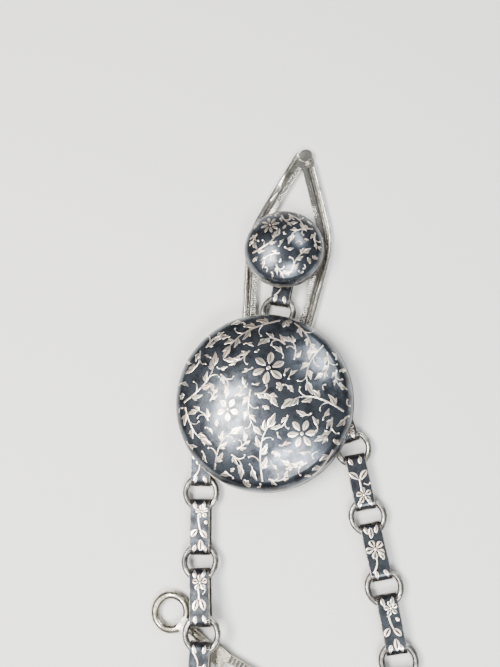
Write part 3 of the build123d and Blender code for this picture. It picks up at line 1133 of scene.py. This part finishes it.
class Studio:
    """Floor, light and camera."""

    def __init__(self, centre: Vector, shelf: MaterialShelf) -> None:
        """Keeps the large disc's centre, which everything is placed about."""
        self.centre = centre
        self.shelf = shelf

    def floor(self) -> None:
        """Lays the plain pale surface."""
        half = 0.9
        mesh = bpy.data.meshes.new("floor")
        corners = [(-half, -half, 0.0), (half, -half, 0.0), (half, half, 0.0), (-half, half, 0.0)]
        mesh.from_pydata(corners, [], [(0, 1, 2, 3)])
        mesh.materials.append(self.shelf.floor())
        floor = bpy.data.objects.new("floor", mesh)
        bpy.context.scene.collection.objects.link(floor)
        floor.location.z = -FLOOR_DROP

    def lamp(self, name: str, place: Point, height: float, size: float, power: float,
             colour: Colour) -> None:
        """Hangs one soft box aimed at the chain.

        Args:
            name: Name of the light.
            place: Where it hangs about the disc, in metres.
            height: Height in metres.
            size: Width of the box in metres.
            power: Power in watts.
            colour: Its tint.
        """
        light = bpy.data.lights.new(name, "AREA")
        light.shape = "RECTANGLE"
        light.size = size
        light.size_y = size * 0.6
        light.energy = power
        light.color = colour
        lamp = bpy.data.objects.new(name, light)
        spot = self.centre + Vector((place[0], place[1], height))
        lamp.location = spot
        aim = self.centre + Vector((0.006, -0.008, 0.0)) - spot
        lamp.rotation_euler = aim.to_track_quat("-Z", "Y").to_euler()
        bpy.context.scene.collection.objects.link(lamp)

    def light(self) -> None:
        """Plain soft studio light."""
        world = bpy.data.worlds.new("Studio")
        bpy.context.scene.world = world
        world.use_nodes = True
        shade = world.node_tree.nodes["Background"]
        shade.inputs["Color"].default_value = (0.8, 0.86, 0.95, 1.0)
        shade.inputs["Strength"].default_value = 0.17
        self.lamp("KeyBox", (-0.13, -0.02), 0.26, 0.2, 2.7, (1.0, 0.98, 0.95))
        self.lamp("FrontBox", (0.07, -0.17), 0.24, 0.15, 1.5, (0.96, 0.98, 1.0))
        self.lamp("BackBox", (0.24, 0.26), 0.34, 0.2, 1.6, (0.92, 0.96, 1.0))

    def camera(self) -> None:
        """Stands the camera above the chain."""
        data = bpy.data.cameras.new("Camera")
        data.lens = 39.69
        data.sensor_width = 36.0
        data.clip_start = 0.005
        camera = bpy.data.objects.new("Camera", data)
        right = Vector((0.9903, 0.0285, -0.1360)).normalized()
        back = Vector((0.1389, -0.2031, 0.9693)).normalized()
        up = back.cross(right).normalized()
        turn = Matrix((right, up, back)).transposed().to_4x4()
        stand = Vector((self.centre.x + 13.99 * MM, self.centre.y - 13.11 * MM, 118.16 * MM))
        camera.matrix_world = Matrix.Translation(stand) @ turn
        bpy.context.scene.collection.objects.link(camera)
        bpy.context.scene.camera = camera


class WatchChain:
    """The whole chain, dressed piece by piece."""

    def __init__(self, frame: dict) -> None:
        """Keeps the frame's nodes.
        """
        self.nodes: dict[str, bpy.types.Object] = frame["nodes"]
        self.shelf = MaterialShelf()
        self.centre = centre_of("large_medallion_cover")

    @staticmethod
    def finish_for(node: str) -> Finish:
        """Says which finish a CAD piece has.

        Args:
            node: Name of the piece.

        Returns:
            Its finish.
        """
        if node.endswith("cover"):
            return NIELLO
        if node.endswith("back_plate"):
            return PLATE_SILVER
        if "link" in node:
            return STRAP_SILVER
        if node.startswith("hook"):
            return HOOK_SILVER
        if node.startswith("clasp") and node != "clasp_ring":
            return CLASP_SILVER
        return RING_SILVER

    def coat_nodes(self) -> None:
        """Gives every CAD piece its finish."""
        for name, node in self.nodes.items():
            node.data.materials.clear()
            node.data.materials.append(self.shelf.get(self.finish_for(name)))

    def dress(self) -> None:
        """Adds the ornament and the milling."""
        flat = (Vector((1.0, 0.0, 0.0)), Vector((0.0, 1.0, 0.0)))
        LargeMedallion("large_medallion", self.nodes["large_medallion_cover"],
                       Vector((self.centre.x, self.centre.y, 0.0)), *flat, LARGE_RADIUS,
                       self.shelf).decorate()
        tilt = Matrix.Rotation(math.radians(SMALL_TILT), 3, Vector((-1.0, 1.0, 0.0)))
        small = centre_of("small_medallion_back_plate")
        SmallMedallion("small_medallion", self.nodes["small_medallion_cover"], small,
                       tilt @ flat[0], tilt @ flat[1], SMALL_RADIUS, self.shelf).decorate()
        links = sorted(n for n in self.nodes if "link" in n)
        for variant, name in enumerate(links):
            StrapLink(name, self.nodes[name], variant, self.shelf).decorate()
        hook = WaistHook(self.nodes, self.centre, self.shelf)
        hook.mill("hook_fixed_arm", "large_medallion", -1.0)
        hook.mill("hook_sprung_arm", "hook_sprung_arm", 1.0)
        Clasp(self.nodes["clasp_gate"], self.shelf).mill()


def main() -> None:
    """Builds the picture."""
    logging.basicConfig(level=logging.INFO)
    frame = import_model()
    chain = WatchChain(frame)
    chain.coat_nodes()
    chain.dress()
    studio = Studio(chain.centre, chain.shelf)
    studio.floor()
    studio.light()
    studio.camera()
    LOG.info("%d CAD pieces dressed", len(chain.nodes))


if __name__ == "__main__":
    main()
